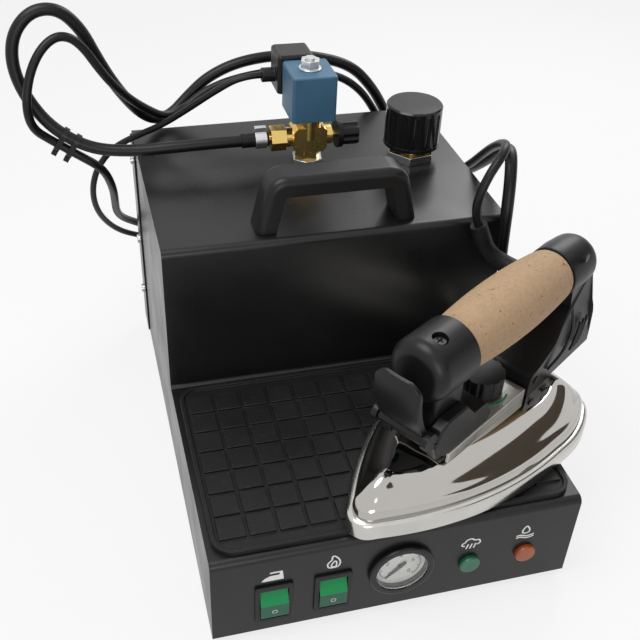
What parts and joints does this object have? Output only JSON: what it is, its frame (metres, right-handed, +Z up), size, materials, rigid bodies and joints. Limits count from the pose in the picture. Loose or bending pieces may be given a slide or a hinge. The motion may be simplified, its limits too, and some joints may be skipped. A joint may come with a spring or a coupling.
{
  "type": "steam generator iron",
  "caption": "Steam generator iron: stepped steel cabinet with boiler, steam valve and filler cap, and a corded cork-handled iron resting on its rubber mat.",
  "frame": {"origin": "middle of the footprint of the cabinet and iron together, at the underside of the feet", "axes": "+X to the right seen from the front panel, +Y from the front panel to the rear, +Z up"},
  "size_m": [0.3872, 0.4108, 0.3185],
  "materials": {
    "black_paint": "satin",
    "rubber": "matte",
    "zinc": "satin",
    "black_plastic": "satin",
    "rocker_green": "gloss",
    "dial_white": "matte",
    "needle_black": "matte",
    "clear_glass": "gloss",
    "lens_green": "gloss",
    "lens_orange": "gloss",
    "stainless": "satin",
    "insulation": "matte",
    "brass": "satin",
    "coil_blue": "satin",
    "aluminium": "satin",
    "chrome": "polished",
    "brushed": "brushed",
    "cork": "matte",
    "cord_black": "satin"
  },
  "bodies": {
    "cabinet": {"armature_tube": "stainless", "base_pan": "black_paint", "boiler_jacket": "insulation", "boiler_saddles": "zinc", "boiler_tank": "stainless", "boiler_thermostat": "zinc", "cabinet_screws": "zinc", "cabinet_shell": "black_paint", "cable_glands": "black_plastic", "cable_ties": "black_plastic", "coil_nut": "zinc", "coil_plug": "black_plastic", "filler_bushing": "brass", "gauge_case": "black_plastic", "gauge_dial": "dial_white", "gauge_glass": "clear_glass", "grab_handle": "black_plastic", "heating_element": "stainless", "hose_barb": "brass", "hose_clamp": "zinc", "hose_sleeve": "rubber", "iron_cable": "cord_black", "mains_inlet": "black_plastic", "plunger_spring": "stainless", "pressure_switch": "zinc", "rear_cover": "black_paint", "rest_mat": "rubber", "rubber_feet": "rubber", "steam_hose": "cord_black", "steam_lamp": "lens_green", "switch_cases": "black_plastic", "valve_body": "brass", "valve_cable": "cord_black", "valve_coil": "coil_blue", "valve_locknut": "zinc", "valve_nipple": "brass", "water_lamp": "lens_orange"},
    "power_rocker": {"power_rocker": "rocker_green"},
    "heater_rocker": {"heater_rocker": "rocker_green"},
    "needle": {"gauge_needle": "needle_black"},
    "cap_carrier": {"cap_seal": "rubber"},
    "cap": {"filler_cap": "black_plastic"},
    "regulator": {"regulator_knob": "black_plastic", "regulator_spindle": "brass"},
    "plunger": {"valve_plunger": "stainless"},
    "iron": {"soleplate": "aluminium", "iron_cover": "chrome", "sole_heater": "stainless", "iron_thermostat": "zinc", "handle_bracket": "brushed", "microswitch_case": "black_plastic", "front_cap": "black_plastic", "handle_rod": "stainless", "cork_grip": "cork", "rear_housing_left": "black_plastic", "rear_housing_right": "black_plastic", "iron_screws": "zinc", "bend_guard": "rubber"},
    "trigger": {"trigger": "black_plastic"},
    "dial": {"thermostat_knob": "black_plastic"}
  },
  "joints": [
    {"name": "power_switch", "type": "hinge", "parent": "cabinet", "child": "power_rocker", "pos_m": [-0.10855, -0.17973, 0.033], "axis": [1, 0, 0], "range_deg": [0, 20]},
    {"name": "heater_switch", "type": "hinge", "parent": "cabinet", "child": "heater_rocker", "pos_m": [-0.06956, -0.17973, 0.033], "axis": [1, 0, 0], "range_deg": [0, 20]},
    {"name": "gauge_sweep", "type": "hinge", "parent": "cabinet", "child": "needle", "pos_m": [-0.02346, -0.18173, 0.0425], "axis": [0, 1, 0], "range_deg": [0, 270]},
    {"name": "cap_lift", "type": "slide", "parent": "cabinet", "child": "cap_carrier", "axis": [0, 0, 1], "range_m": [0, 0.018]},
    {"name": "cap_turn", "type": "hinge", "parent": "cap_carrier", "child": "cap", "pos_m": [0.06195, 0.08827, 0.208], "axis": [0, 0, 1], "range_deg": [0, 3240]},
    {"name": "regulator_turn", "type": "hinge", "parent": "cabinet", "child": "regulator", "pos_m": [-0.02056, 0.09627, 0.217], "axis": [1, 0, 0], "continuous": true},
    {"name": "plunger_lift", "type": "slide", "parent": "cabinet", "child": "plunger", "axis": [0, 0, 1], "range_m": [0, 0.003], "stiffness_N_per_m": 300, "springref_m": -0.002, "deforming": ["plunger_spring"]},
    {"name": "iron_lift", "type": "slide", "parent": "cabinet", "child": "iron", "axis": [0, 0, 1], "range_m": [0, 0.05], "deforming": ["steam_hose", "iron_cable"]},
    {"name": "trigger_press", "type": "hinge", "parent": "iron", "child": "trigger", "pos_m": [-0.02393, -0.16037, 0.148], "axis": [-0.5373, 0.8434, 0], "range_deg": [0, 8], "stiffness_Nm_per_rad": 0.4, "springref_deg": -5.73},
    {"name": "dial_turn", "type": "hinge", "parent": "iron", "child": "dial", "pos_m": [0.0486, -0.11416, 0.128], "axis": [0, 0, 1], "range_deg": [0, 270]}
  ],
  "couplings": [
    {"joint": "cap_lift", "follows": "cap_turn", "m_per_rad": 0.00031831}
  ]
}
